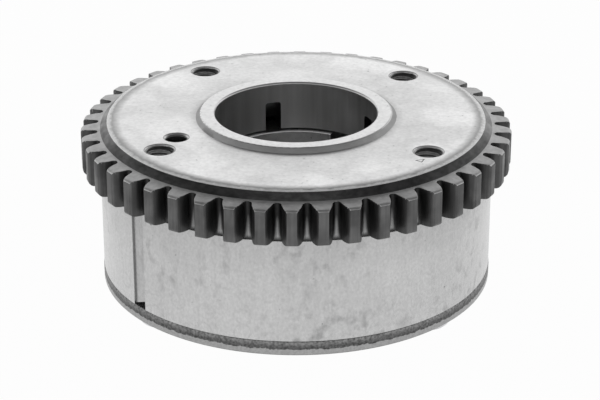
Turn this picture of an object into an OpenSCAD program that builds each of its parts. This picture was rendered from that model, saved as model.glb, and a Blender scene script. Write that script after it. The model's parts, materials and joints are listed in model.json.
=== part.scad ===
// Cam phaser for an engine camshaft driven by a timing chain.
// A toothed sprocket, a vane housing and a front cover are bolted into one drum.
// A vane rotor turns inside the drum and is clamped to the camshaft.
// Millimetres, +Z up towards the camshaft, origin on the turning axis under the bolt heads.
// Angles are counted from the front of the part (-Y) towards its right (+X).

/* [Chain teeth] */
// Number of chain teeth
tooth_count = 46; // [46:1:52]
// Pitch of the inverted-tooth chain
chain_pitch = 6.35; // [6.35:0.01:6.8]
// Height of a tooth from root to tip
tooth_depth = 3.6; // [3:0.1:3.8]
// Width of a tooth at its tip
tooth_tip_w = 1.9; // [1.6:0.1:2.2]
// Width of a tooth at its root
tooth_root_w = 4.3; // [3.9:0.1:4.5]
// How far a tooth flank bulges from a straight line
flank_bulge = 0.3; // [0.2:0.01:0.4]
// Length of the teeth along the axis
tooth_len = 8.2; // [6.5:0.1:8.6]
// Fall of the tooth tops from root to tip
tooth_fall = 0.3; // [0.1:0.05:0.5]
// Rounding of the upper end of each tooth tip
tip_round = 0.8; // [0.4:0.05:1]
// Rounding of the lower end of each tooth tip
tip_foot_round = 1; // [0.2:0.05:1.2]
// Angle of the first tooth from the front
tooth_phase = -1.1; // [-3.9:0.1:3.9]

/* [Sprocket plate] */
// Thickness of the plate between its inner face and its light face
plate_t = 10.3; // [9.5:0.1:12]
// Drop from the light face to the top of the teeth
tooth_drop = 1.6; // [1.2:0.1:2]
// Radius of the edge of the light face
face_r = 41; // [40:0.1:41.6]
// Radial width of the rolled edge of the light face
face_roll_w = 1.9; // [1:0.1:2.4]
// Drop of the rolled edge
face_roll_drop = 0.2; // [0.1:0.05:0.4]
// Radius of the plate below the cone
plate_r = 42.5; // [42:0.1:42.8]
// Radius of the bore for the camshaft
bore_r = 17.6; // [16.9:0.1:18.4]
// Radius of the hub ring at its top
hub_top_r = 20.9; // [19.6:0.1:21.3]
// Radius of the hub ring at its foot
hub_foot_r = 21.8; // [21.4:0.1:23]
// Height of the hub ring over the light face
hub_rise = 1; // [0.6:0.1:1.6]

/* [Housing and cover] */
// Outer radius of the housing
drum_r = 42.7; // [42.2:0.1:43]
// Height of the housing between cover and sprocket
housing_h = 22.6; // [20:0.2:26]
// Wall of the housing outside the oil chambers
housing_wall = 4.6; // [4:0.1:5]
// Half width of a housing shoe in degrees
shoe_half = 14; // [13.5:0.1:14.6]
// Width of the groove down the outside of the housing
groove_w = 3.9; // [2.6:0.1:4.4]
// Depth of that groove
groove_depth = 0.5; // [0.4:0.05:0.9]
// Angle of the groove from the front
groove_angle = -51; // [-53:0.5:-47]
// Height of the relief notch at the lower end of the groove
notch_h = 1.8; // [1.2:0.1:2.6]
// Height of that notch at its low side
notch_low_h = 0.15; // [0.1:0.05:0.6]
// Thickness of the front cover
cover_t = 3.3; // [2.4:0.1:4]
// How far the cover stands out past the housing
cover_lip = 0.1; // [0.05:0.05:0.4]
// Height of the cover's upper edge that the blanking die rolled over
cover_roll_h = 0.6; // [0.3:0.1:1]
// Radial width of that rolled edge
cover_roll_w = 0.35; // [0.2:0.05:0.6]
// Radius of the hole in the middle of the cover
cover_hole_r = 15; // [13.8:0.2:17]

/* [Bolts and dowel] */
// Angle of the first bolt from the front
bolt_angle_1 = -55.8; // [-56.6:0.2:-55]
// Angle of the second bolt
bolt_angle_2 = 53.2; // [52.4:0.2:54]
// Angle of the third bolt
bolt_angle_3 = 134.8; // [134:0.2:135.6]
// Angle of the fourth bolt
bolt_angle_4 = 217.1; // [216.3:0.2:217.9]
// Radius of the circle the bolts stand on
bolt_circle_r = 34.4; // [34:0.1:34.8]
// Thread radius of a bolt
bolt_r = 3; // [2.8:0.1:3.2]
// Radius of a bolt head
bolt_head_r = 5.5; // [5:0.1:6]
// Height of a bolt head
bolt_head_h = 3.3; // [3:0.1:4.5]
// Depth of the six-lobed drive in a bolt head
drive_depth = 2; // [1.5:0.1:2.4]
// Depth of open thread over the end of a bolt
thread_free = 4.8; // [3.5:0.1:5.5]
// Radius of the locating dowel
dowel_r = 2; // [1.8:0.05:2.1]
// Angle of the dowel from the front
dowel_angle = -63.6; // [-64:0.1:-63.2]
// Distance of the dowel outside the rotor hub
dowel_out = 4.3; // [4:0.1:4.8]

/* [Rotor] */
// Turning range of the rotor in degrees
sweep = 27; // [22:1:28]
// Radius of the rotor hub
hub_r = 24; // [23.6:0.1:24.4]
// Half width of a narrow vane in degrees
vane_half = 10; // [8.5:0.5:10.5]
// Radius of the socket for the camshaft nose
socket_r = 16.6; // [16:0.1:16.8]
// Depth of that socket
socket_depth = 10; // [8:0.2:12]
// Radius of the hole for the centre bolt
centre_hole_r = 6.3; // [5.5:0.1:7]
// Depth of the bolt seat in the front of the rotor
seat_depth = 1.5; // [1:0.1:2.5]
// Radius of that seat
seat_r = 13.2; // [12.4:0.1:13.6]
// Width of the oil slots
oil_slot_w = 3.6; // [3:0.1:4]

/* [Seals] */
// Width of a seal strip
seal_w = 1.9; // [1.6:0.1:2.1]
// Radial height of a seal strip
seal_h = 2.6; // [2.2:0.1:3]
// Bow of the leaf spring behind a seal
leaf_bow = 0.8; // [0.6:0.05:1]
// Thickness of that leaf
leaf_t = 0.25; // [0.2:0.05:0.35]

/* [Lock pin] */
// Radius of the pin's nose
pin_nose_r = 3.6; // [3.2:0.1:3.9]
// Radius of the pin's body
pin_body_r = 4.5; // [4.3:0.1:4.8]
// Length of the pin
pin_len = 16; // [15:0.2:17]
// Depth the nose enters the sprocket when the rotor is locked
lock_depth = 4.5; // [3.6:0.1:4.6]
// Web between the pin's bore and the seal slot outside it
pin_web = 0.7; // [0.5:0.1:1.2]
// Wire radius of the pin's spring
pin_wire_r = 0.3; // [0.25:0.05:0.35]
// Number of turns of that spring
pin_turns = 9; // [7:1:11]

/* [Hidden] */
$fn = 96;
run_gap = 0.05;
fit_gap = 0.02;
axial_gap = 0.04;
stop_gap = 0.25;
over = 1;
edge = 0.3;
fine_edge = 0.1;

cover_z = bolt_head_h;
housing_z = cover_z + cover_t;
inner_z = housing_z + housing_h;
face_z = inner_z + plate_t;
hub_z = face_z + hub_rise;
tooth_top_z = face_z - tooth_drop;
tooth_low_z = tooth_top_z - tooth_len;
bolt_end_z = face_z - thread_free;

tooth_step = 360 / tooth_count;
tip_share = 0.08;
tip_r = chain_pitch / 2 * (1 / tan(180 / tooth_count) + tip_share);
root_r = tip_r - tooth_depth;
flank_fall = (tooth_root_w - tooth_tip_w) / 2;
flank_chord = sqrt(tooth_depth * tooth_depth + flank_fall * flank_fall);
flank_r = flank_chord * flank_chord / (8 * flank_bulge) + flank_bulge / 2;
flank_reach = flank_r - flank_bulge;
flank_x = (root_r + tip_r) / 2 - flank_reach * flank_fall / flank_chord;
flank_y = flank_reach * tooth_depth / flank_chord - (tooth_root_w + tooth_tip_w) / 4;
root_rise = 0.6;
root_share = root_rise / tooth_depth;
root_half = tooth_root_w / 2 - flank_fall * root_share + 4 * flank_bulge * root_share * (1 - root_share);
gap_half = PI * (root_r + root_rise) / tooth_count - root_half;
root_round_r = (gap_half * gap_half + root_rise * root_rise) / (2 * root_rise);
round_past = 0.03;
rim_overlap = 3;
rim_inner_r = plate_r - rim_overlap;

bolt_angles = [bolt_angle_1, bolt_angle_2, bolt_angle_3, bolt_angle_4, bolt_angle_1 + 360];
bolt_hole_r = bolt_r + edge;
sink_lip = 0.2;
shank_r = bolt_r - run_gap;
drive_r = 2.1;
drive_lobe_r = 0.75;
head_round = 0.9;
dowel_len = 11;
dowel_sunk = 6;
dowel_gap = 0.15;
dowel_sink = 0.5;
dowel_circle_r = hub_r + dowel_out;
dowel_low_z = inner_z - dowel_sunk;
dowel_hole_r = dowel_r + dowel_gap;

feed_lead = 20;
feed_drop = 3.6;
feed_depth = 3.5;
slot_round = 0.6;
feed_groove = 2;
feed_past_hub = 3.5;
feed_reach = hub_r + feed_past_hub;

rotor_z = housing_z + axial_gap;
rotor_top_z = inner_z - axial_gap;
rotor_h = rotor_top_z - rotor_z;
chamber_r = drum_r - housing_wall;
shoe_tip_r = hub_r + run_gap;
vane_tip_r = chamber_r - run_gap;
lock_low = bolt_angle_1 + shoe_half + stop_gap;
lock_half = (bolt_angle_2 - bolt_angle_1 - 2 * shoe_half - sweep) / 2 - stop_gap;
vane_angles = [
  lock_low + lock_half,
  for (k = [1 : 3]) (bolt_angles[k] + bolt_angles[k + 1] - sweep) / 2
];
vane_halves = [lock_half, vane_half, vane_half, vane_half];
slot_lead = 6.3;
slot_depth = 3;
pocket_lead = 2;
pocket_past_hub = 5.5;
slot_z = rotor_top_z - slot_depth;
socket_z = rotor_top_z - socket_depth;
pilot_r = 2.6;
pilot_circle_r = 11.3;
pilot_angle = 30;
pilot_depth = 5;
vent_w = 1.6;
vent_depth = 1;

seal_slot_w = seal_w + 2 * run_gap;
leaf_room = leaf_bow + leaf_t + 4 * run_gap;
seal_slot_h = seal_h + leaf_room;
seal_len = rotor_h - 2 * run_gap;
seal_z = rotor_z + run_gap;
leaf_w = seal_w - 4 * run_gap;
leaf_short = 3;
leaf_len = seal_len - leaf_short;
leaf_r = (leaf_len * leaf_len / 4 + leaf_bow * leaf_bow) / (2 * leaf_bow);

pin_angle = vane_angles[0];
pin_bore_r = pin_body_r + run_gap;
pin_circle_r = vane_tip_r - seal_slot_h - pin_web - pin_bore_r;
nose_bore_r = pin_nose_r + run_gap;
pin_collar = 4;
nose_len = pin_collar + lock_depth + edge;
pin_top_z = rotor_top_z - run_gap;
pin_low_z = pin_top_z - pin_len;
pin_wall = 0.9;
pin_crown = 4;
pin_hollow_r = pin_nose_r - pin_wall;
pin_hollow = pin_len - pin_crown;
retainer_h = 2;
retainer_vent_r = 1;
retainer_z = rotor_z + retainer_h;
spring_r = pin_hollow_r - pin_wire_r - 2 * run_gap;
spring_low_z = retainer_z + pin_wire_r + fit_gap;
spring_h = pin_low_z + pin_hollow - pin_wire_r - fit_gap - spring_low_z;
spring_steps = 14;
wire_sides = 6;
bush_gap = 0.2;
bush_wall = 2.2;
bush_spare = 0.6;
bush_hole_r = pin_nose_r + bush_gap;
bush_r = bush_hole_r + bush_wall;
bush_h = lock_depth + bush_spare;

// Puts a shape at an angle from the front, a distance from the axis and a height.
module place(angle, radius = 0, z = 0) {
  rotate(angle - 90)
    translate([radius, 0, z])
      children();
}

// Block along a radius, from one radius to another, centred on its own angle.
module radial_block(from_r, to_r, width, low_z, high_z) {
  translate([from_r, -width / 2, low_z])
    cube([to_r - from_r, width, high_z - low_z]);
}

// Slot along a radius with round upper corners, centred on its own angle.
module round_slot(from_r, to_r, width, low_z, high_z) {
  rise = high_z - low_z;
  translate([from_r, 0, low_z])
    rotate([90, 0, 90])
      linear_extrude(to_r - from_r) {
        translate([-width / 2, 0])
          square([width, rise - slot_round]);
        translate([slot_round - width / 2, 0])
          square([width - 2 * slot_round, rise]);
        for (side = [-1, 1])
          translate([side * (width / 2 - slot_round), rise - slot_round])
            circle(r = slot_round);
      }
}

// Flat pie slice that reaches at least to the given radius.
module slice(half, reach) {
  corner = reach / cos(half / 2);
  polygon([
    [0, 0],
    [corner * cos(half), -corner * sin(half)],
    [corner, 0],
    [corner * cos(half), corner * sin(half)]
  ]);
}

// One tooth between two flank arcs, with its middle along +X.
module tooth_blade() {
  intersection() {
    translate([flank_x, -flank_y])
      circle(r = flank_r);
    translate([flank_x, flank_y])
      circle(r = flank_r);
  }
}

// Outline of the toothed rim: curved flanks, round roots, flat tips.
module rim_outline() {
  difference() {
    union() {
      circle(r = root_r + root_rise);
      intersection() {
        circle(r = tip_r);
        for (i = [0 : tooth_count - 1])
          place(tooth_phase + i * tooth_step)
            tooth_blade();
      }
    }
    for (i = [0 : tooth_count - 1])
      place(tooth_phase + (i + 0.5) * tooth_step, root_r + root_round_r)
        circle(r = root_round_r);
    circle(r = rim_inner_r);
  }
}

// Quarter round that runs from an outer side up to its top.
function round_up(outer, top, width, height) = [
  for (a = [0 : 30 : 90])
    [outer - width * (1 - cos(a)), top - height * (1 - sin(a))]
];

// Toothed rim with sloping tops, its tips rounded at both ends.
module tooth_rim() {
  outer = tip_r + round_past;
  low_z = tooth_low_z - round_past;
  foot = round_up(outer, -low_z, tip_foot_round, tip_foot_round);
  intersection() {
    translate([0, 0, tooth_low_z])
      linear_extrude(tooth_len + over)
        rim_outline();
    rotate_extrude()
      polygon(concat(
        [[0, tooth_top_z], [0, low_z]],
        [for (k = [3 : -1 : 0]) [foot[k].x, -foot[k].y]],
        round_up(outer, tooth_top_z - tooth_fall, tip_round, tip_round),
        [[plate_r, tooth_top_z]]
      ));
  }
}

// Turned plate: bore, hub ring, light face with a rolled edge, cone down to the teeth.
module plate_blank() {
  rotate_extrude()
    polygon([
      [bore_r, inner_z + edge],
      [bore_r, hub_z - edge],
      [bore_r + edge, hub_z],
      [hub_top_r - edge, hub_z],
      [hub_top_r, hub_z - edge / 2],
      [hub_foot_r, face_z],
      [face_r - face_roll_w, face_z],
      [face_r - face_roll_w / 2, face_z - face_roll_drop / 4],
      [face_r, face_z - face_roll_drop],
      [plate_r, tooth_top_z],
      [plate_r, inner_z],
      [bore_r + edge, inner_z]
    ]);
}

// Oil slots up the bore wall, each with a groove across the inner face to a chamber.
module plate_oil_slots() {
  for (k = [0 : 3])
    place(bolt_angles[k] - feed_lead) {
      round_slot(bore_r - over, bore_r + feed_depth, oil_slot_w, inner_z - over, face_z - feed_drop);
      radial_block(bore_r, feed_reach, oil_slot_w, inner_z - over, inner_z + feed_groove);
    }
}

// Tapped hole at the thread's full radius, with a countersunk mouth.
module tapped_hole() {
  translate([0, 0, inner_z - over])
    cylinder(r = bolt_r, h = plate_t + 2 * over);
  translate([0, 0, face_z - sink_lip])
    cylinder(r1 = bolt_r, r2 = bolt_r + sink_lip + over, h = sink_lip + over);
}

// Plain hole for the dowel with a countersunk mouth.
module dowel_hole() {
  translate([0, 0, inner_z - over])
    cylinder(r = dowel_hole_r, h = plate_t + 2 * over);
  translate([0, 0, face_z - dowel_sink])
    cylinder(r1 = dowel_hole_r, r2 = dowel_hole_r + dowel_sink + over, h = dowel_sink + over);
}

module sprocket() {
  color([0.72, 0.72, 0.71])
    difference() {
      union() {
        plate_blank();
        tooth_rim();
      }
      plate_oil_slots();
      for (k = [0 : 3])
        place(bolt_angles[k], bolt_circle_r)
          tapped_hole();
      place(dowel_angle, dowel_circle_r)
        dowel_hole();
      place(pin_angle, pin_circle_r, inner_z - over)
        cylinder(r = bush_r, h = bush_h + over);
    }
}

// Hard ring in the sprocket that takes the nose of the lock pin.
module lock_bush() {
  color([0.5, 0.5, 0.52])
    place(pin_angle, pin_circle_r)
      rotate_extrude()
        polygon([
          [bush_hole_r + edge, inner_z],
          [bush_r - fit_gap - edge, inner_z],
          [bush_r - fit_gap, inner_z + edge],
          [bush_r - fit_gap, inner_z + bush_h],
          [bush_hole_r, inner_z + bush_h],
          [bush_hole_r, inner_z + edge]
        ]);
}

// Ring with four shoes that reach in to the rotor hub.
module housing_outline() {
  difference() {
    circle(r = drum_r);
    difference() {
      circle(r = chamber_r);
      for (k = [0 : 3])
        place(bolt_angles[k])
          slice(shoe_half, chamber_r + over);
    }
    circle(r = shoe_tip_r);
    for (k = [0 : 3])
      place(bolt_angles[k]) {
        translate([shoe_tip_r - over, -seal_slot_w / 2])
          square([seal_slot_h + over, seal_slot_w]);
        translate([bolt_circle_r, 0])
          circle(r = bolt_hole_r);
      }
  }
}

// Ring-shaped cutter that breaks the upper outer edge of the housing.
module housing_edge() {
  rotate_extrude()
    polygon([
      [drum_r - fine_edge - over, inner_z + over],
      [drum_r + over, inner_z - fine_edge - over],
      [drum_r + over, inner_z + over]
    ]);
}

// Slanted relief below the groove, seen from outside as a wedge.
module groove_notch() {
  floor_r = drum_r - groove_depth;
  translate([floor_r + over, 0, housing_z])
    rotate([90, 0, -90])
      linear_extrude(groove_depth + 2 * over)
        polygon([
          [-groove_w / 2, -over],
          [groove_w / 2, -over],
          [groove_w / 2, notch_low_h],
          [-groove_w / 2, notch_h]
        ]);
}

module housing() {
  color([0.66, 0.66, 0.65])
    difference() {
      translate([0, 0, housing_z])
        linear_extrude(housing_h)
          housing_outline();
      housing_edge();
      place(groove_angle) {
        radial_block(drum_r - groove_depth, drum_r + over, groove_w, housing_z - over, inner_z + over);
        groove_notch();
      }
      place(dowel_angle, dowel_circle_r, dowel_low_z - edge)
        cylinder(r = dowel_r + fit_gap, h = inner_z - dowel_low_z + edge + over);
    }
}

module front_cover() {
  cover_r = drum_r + cover_lip;
  color([0.52, 0.52, 0.51])
    difference() {
      rotate_extrude()
        polygon(concat(
          [
            [cover_hole_r, cover_z + edge],
            [cover_hole_r + edge, cover_z],
            [cover_r - edge, cover_z],
            [cover_r, cover_z + edge]
          ],
          round_up(cover_r, housing_z, cover_roll_w, cover_roll_h),
          [
            [cover_hole_r + edge, housing_z],
            [cover_hole_r, housing_z - edge]
          ]
        ));
      for (k = [0 : 3])
        place(bolt_angles[k], bolt_circle_r, cover_z - over)
          cylinder(r = bolt_hole_r, h = cover_t + 2 * over);
    }
}

// Low-head bolt with its head down and its shank up.
module cover_bolt() {
  difference() {
    rotate_extrude()
      polygon([
        [0, 0],
        [bolt_head_r - head_round, 0],
        [bolt_head_r - head_round / 3, head_round / 3],
        [bolt_head_r, head_round],
        [bolt_head_r, cover_z],
        [shank_r, cover_z],
        [shank_r, bolt_end_z - 2 * edge],
        [shank_r - 2 * edge, bolt_end_z],
        [0, bolt_end_z]
      ]);
    translate([0, 0, -over])
      linear_extrude(drive_depth + over) {
        circle(r = drive_r);
        for (i = [0 : 5])
          rotate(60 * i)
            translate([drive_r, 0])
              circle(r = drive_lobe_r);
      }
  }
}

module cover_bolts() {
  color([0.62, 0.62, 0.63])
    for (k = [0 : 3])
      place(bolt_angles[k], bolt_circle_r)
        cover_bolt();
}

module locating_dowel() {
  high_z = dowel_low_z + dowel_len;
  color([0.62, 0.62, 0.63])
    place(dowel_angle, dowel_circle_r)
      rotate_extrude()
        polygon([
          [0, dowel_low_z],
          [dowel_r - edge, dowel_low_z],
          [dowel_r, dowel_low_z + edge],
          [dowel_r, high_z - edge],
          [dowel_r - edge, high_z],
          [0, high_z]
        ]);
}

// Seal strip in a housing shoe, its inner face curved to the rotor hub.
module shoe_seal(k) {
  color([0.2, 0.2, 0.2])
    place(bolt_angles[k])
      difference() {
        radial_block(hub_r - over, shoe_tip_r + seal_h, seal_w, seal_z, seal_z + seal_len);
        translate([0, 0, seal_z - over])
          cylinder(r = hub_r + run_gap, h = seal_len + 2 * over);
      }
}

// Bowed leaf that stands along +Z, its ends at x = 0 and its middle at x = bow + thickness.
module leaf_spring() {
  translate([0, leaf_w / 2, seal_z + seal_len / 2])
    rotate([90, 0, 0])
      linear_extrude(leaf_w)
        intersection() {
          translate([leaf_bow - leaf_r, 0])
            difference() {
              circle(r = leaf_r + leaf_t);
              circle(r = leaf_r);
            }
          translate([0, -leaf_len / 2])
            square([leaf_bow + leaf_t + over, leaf_len]);
        }
}

module shoe_seal_spring(k) {
  color([0.6, 0.6, 0.62])
    place(bolt_angles[k], shoe_tip_r + seal_h + 2 * run_gap)
      leaf_spring();
}

// Outline of the rotor: hub, one wide vane for the lock pin and three narrow vanes.
module rotor_outline() {
  difference() {
    union() {
      circle(r = hub_r);
      intersection() {
        circle(r = vane_tip_r);
        for (k = [0 : 3])
          place(vane_angles[k])
            slice(vane_halves[k], vane_tip_r + over);
      }
    }
    for (k = [0 : 3])
      place(vane_angles[k])
        translate([vane_tip_r - seal_slot_h, -seal_slot_w / 2])
          square([seal_slot_h + over, seal_slot_w]);
    circle(r = centre_hole_r);
  }
}

// Stepped bore for the lock pin with an oil groove at its mouth and a vent at its foot.
module pin_bore() {
  place(pin_angle) {
    translate([pin_circle_r, 0, rotor_z - over])
      cylinder(r = pin_bore_r, h = rotor_h - pin_collar + over);
    translate([pin_circle_r, 0, rotor_z])
      cylinder(r = nose_bore_r, h = rotor_h + over);
    radial_block(seat_r - over, pin_circle_r, vent_w, rotor_z - over, rotor_z + vent_depth);
  }
}

// Oil slots across the rear face: beside each narrow vane, into the flank of the wide one.
module rotor_oil_slots() {
  place(lock_low + pocket_lead)
    radial_block(socket_r - over, hub_r + pocket_past_hub, oil_slot_w, slot_z, rotor_top_z + over);
  for (k = [1 : 3])
    place(vane_angles[k] - vane_half - slot_lead)
      radial_block(socket_r - over, hub_r + over, oil_slot_w, slot_z, rotor_top_z + over);
}

module vane_rotor() {
  color([0.58, 0.58, 0.59])
    difference() {
      translate([0, 0, rotor_z])
        linear_extrude(rotor_h)
          rotor_outline();
      translate([0, 0, socket_z])
        cylinder(r = socket_r, h = socket_depth + over);
      translate([0, 0, rotor_top_z - edge])
        cylinder(r1 = socket_r, r2 = socket_r + edge + over, h = edge + over);
      translate([0, 0, rotor_z - over])
        cylinder(r = seat_r, h = seat_depth + over);
      place(pilot_angle, pilot_circle_r, socket_z - pilot_depth)
        cylinder(r = pilot_r, h = pilot_depth + over);
      pin_bore();
      rotor_oil_slots();
    }
}

// Seal strip in a vane tip, its outer face curved to the chamber wall.
module vane_seal(k) {
  seal_r = vane_tip_r + fit_gap;
  color([0.2, 0.2, 0.2])
    place(vane_angles[k])
      intersection() {
        radial_block(vane_tip_r - seal_h, chamber_r + over, seal_w, seal_z, seal_z + seal_len);
        translate([0, 0, seal_z - over])
          cylinder(r = seal_r, h = seal_len + 2 * over);
      }
}

module vane_seal_spring(k) {
  color([0.6, 0.6, 0.62])
    place(vane_angles[k], vane_tip_r - seal_h - 2 * run_gap)
      rotate(180)
        leaf_spring();
}

// Hollow stepped pin, drawn back flush with the rotor.
module lock_pin() {
  color([0.5, 0.5, 0.52])
    place(pin_angle, pin_circle_r)
      rotate_extrude()
        polygon([
          [pin_hollow_r, pin_low_z],
          [pin_body_r - edge, pin_low_z],
          [pin_body_r, pin_low_z + edge],
          [pin_body_r, pin_top_z - nose_len],
          [pin_nose_r, pin_top_z - nose_len],
          [pin_nose_r, pin_top_z - 2 * edge],
          [pin_nose_r - 2 * edge, pin_top_z],
          [0, pin_top_z],
          [0, pin_low_z + pin_hollow],
          [pin_hollow_r, pin_low_z + pin_hollow]
        ]);
}

// Point of the spring wire's skin: s counts along the wire, w round it.
function wire_point(s, w) = let(
    turn = 360 * s / spring_steps,
    reach = spring_r + pin_wire_r * cos(360 * w / wire_sides)
  ) [
    reach * cos(turn),
    reach * sin(turn),
    spring_h * s / (spring_steps * pin_turns) + pin_wire_r * sin(360 * w / wire_sides)
  ];

module lock_pin_spring() {
  rings = spring_steps * pin_turns;
  points = [for (s = [0 : rings]) for (w = [0 : wire_sides - 1]) wire_point(s, w)];
  skin = [
    for (s = [0 : rings - 1])
      for (w = [0 : wire_sides - 1])
        let(next = (w + 1) % wire_sides, a = s * wire_sides, b = a + wire_sides)
          [a + w, b + w, b + next, a + next]
  ];
  start = [for (w = [0 : wire_sides - 1]) w];
  end = [for (w = [0 : wire_sides - 1]) rings * wire_sides + wire_sides - 1 - w];
  color([0.6, 0.6, 0.62])
    place(pin_angle, pin_circle_r, spring_low_z)
      polyhedron(points, concat(skin, [start], [end]));
}

// Plug that closes the pin's bore and carries the spring, with a vent through it.
module lock_pin_retainer() {
  plug_r = pin_bore_r - fit_gap;
  color([0.45, 0.45, 0.47])
    place(pin_angle, pin_circle_r)
      rotate_extrude()
        polygon([
          [retainer_vent_r, rotor_z],
          [plug_r - edge, rotor_z],
          [plug_r, rotor_z + edge],
          [plug_r, retainer_z],
          [retainer_vent_r, retainer_z]
        ]);
}

sprocket();
lock_bush();
housing();
front_cover();
cover_bolts();
locating_dowel();
shoe_seal(0);  // shoe_seal_1
shoe_seal(1);  // shoe_seal_2
shoe_seal(2);  // shoe_seal_3
shoe_seal(3);  // shoe_seal_4
shoe_seal_spring(0);  // shoe_seal_spring_1
shoe_seal_spring(1);  // shoe_seal_spring_2
shoe_seal_spring(2);  // shoe_seal_spring_3
shoe_seal_spring(3);  // shoe_seal_spring_4
vane_rotor();
vane_seal(0);  // vane_seal_1
vane_seal(1);  // vane_seal_2
vane_seal(2);  // vane_seal_3
vane_seal(3);  // vane_seal_4
vane_seal_spring(0);  // vane_seal_spring_1
vane_seal_spring(1);  // vane_seal_spring_2
vane_seal_spring(2);  // vane_seal_spring_3
vane_seal_spring(3);  // vane_seal_spring_4
lock_pin();
lock_pin_spring();
lock_pin_retainer();
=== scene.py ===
"""Cam phaser for a timing chain: the looks of its steel pieces, its fine threads and a plain studio stage."""

import json
import math

import bmesh
import bpy
import numpy as np
from bpy.props import FloatProperty, FloatVectorProperty, IntProperty, PointerProperty
from mathutils import Matrix, Vector


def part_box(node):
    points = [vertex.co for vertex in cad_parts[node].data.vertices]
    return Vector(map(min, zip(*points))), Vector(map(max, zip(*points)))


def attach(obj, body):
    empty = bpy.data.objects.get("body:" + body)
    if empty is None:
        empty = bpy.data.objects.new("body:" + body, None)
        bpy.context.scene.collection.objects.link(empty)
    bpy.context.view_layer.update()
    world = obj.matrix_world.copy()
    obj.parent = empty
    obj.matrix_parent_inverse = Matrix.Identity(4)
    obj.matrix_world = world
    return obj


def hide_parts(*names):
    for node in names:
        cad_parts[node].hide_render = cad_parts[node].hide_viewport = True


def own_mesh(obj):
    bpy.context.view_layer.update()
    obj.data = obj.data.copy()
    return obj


bl_info = {
    "name": "Cam phaser",
    "version": (1, 0, 0),
    "blender": (4, 5, 0),
    "location": "3D view, sidebar, Phaser tab",
    "description": "Dresses the packed cam phaser and sets it on a plain studio stage",
    "category": "Object",
}

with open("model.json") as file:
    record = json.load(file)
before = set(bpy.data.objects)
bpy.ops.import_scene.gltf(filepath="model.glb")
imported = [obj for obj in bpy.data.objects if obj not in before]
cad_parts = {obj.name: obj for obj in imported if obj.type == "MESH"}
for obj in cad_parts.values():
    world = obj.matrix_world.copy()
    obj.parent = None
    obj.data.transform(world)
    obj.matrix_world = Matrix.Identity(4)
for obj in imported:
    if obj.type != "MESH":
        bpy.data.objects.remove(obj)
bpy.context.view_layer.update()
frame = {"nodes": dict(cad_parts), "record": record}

MM = 0.001
DEGREE = math.pi / 180
MOUNTS = {mount["name"]: mount for mount in frame["record"]["mounts"]}
SPROCKET_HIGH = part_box("sprocket")[1]
HOUSING_LOW, HOUSING_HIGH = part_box("housing")
COVER_LOW, COVER_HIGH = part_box("front_cover")
SPRING_LOW, SPRING_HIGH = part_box("lock_pin_spring")
BOLT_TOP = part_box("cover_bolts")[1].z
DOWEL = sum(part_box("locating_dowel"), Vector()) / 2
TIP_R = SPROCKET_HIGH.x
BORE_R = MOUNTS["camshaft_bore"]["dims"]["r_mm"] * MM
HUB_Z = SPROCKET_HIGH.z
BLACK = (0, 0, 0)

# Points closer than this are one point, and faces that turn by less than this angle are one face.
MERGE = 1e-6
FLAT_ANGLE = 0.5 * DEGREE

# Upright corners of the teeth and all other edges are rounded where they turn by more than these angles.
TOOTH_ANGLE = 48 * DEGREE
EDGE_ANGLE = 22 * DEGREE
EDGE_STEPS = 3

# The thread's end over the bolt, the spring's grid, and the corners of the mark on the light face.
BOLT_ROOM = 0.1 * MM
STEPS_PER_TURN = 32
WIRE_SIDES = 10
MARK_CORNERS = np.array([(24.45, -25.38), (25.81, -26.44), (26.60, -24.59)]) * MM

# The floor's grid, the camera's sensor, and the light tent's brightness by the height of the direction.
FLOOR_SIDES = 96
FLOOR_RINGS = (0, 0.02, 0.1, 0.4, 1)
SENSOR_MM = 36
TENT_STRENGTH = 1.3
TENT_LEVELS = ((0.0, 0.42), (0.08, 0.55), (0.2, 1.0), (0.44, 1.0), (0.56, 0.32), (0.82, 0.16), (1.0, 0.14))


def linear(hex_colour):
    """Turns an sRGB hex colour into linear red, green and blue."""
    parts = np.array([int(hex_colour[i:i + 2], 16) for i in (1, 3, 5)]) / 255
    return tuple(np.where(parts <= 0.04045, parts / 12.92, ((parts + 0.055) / 1.055) ** 2.4))


def colour(name, description, hex_colour):
    """A colour that the user may change."""
    return FloatVectorProperty(
        name=name, description=description, subtype="COLOR", min=0, max=1, default=linear(hex_colour))


def length(name, description, millimetres):
    """A length that the user may change, kept in metres."""
    return FloatProperty(
        name=name, description=description, unit="LENGTH", precision=5, default=millimetres * MM)


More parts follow.
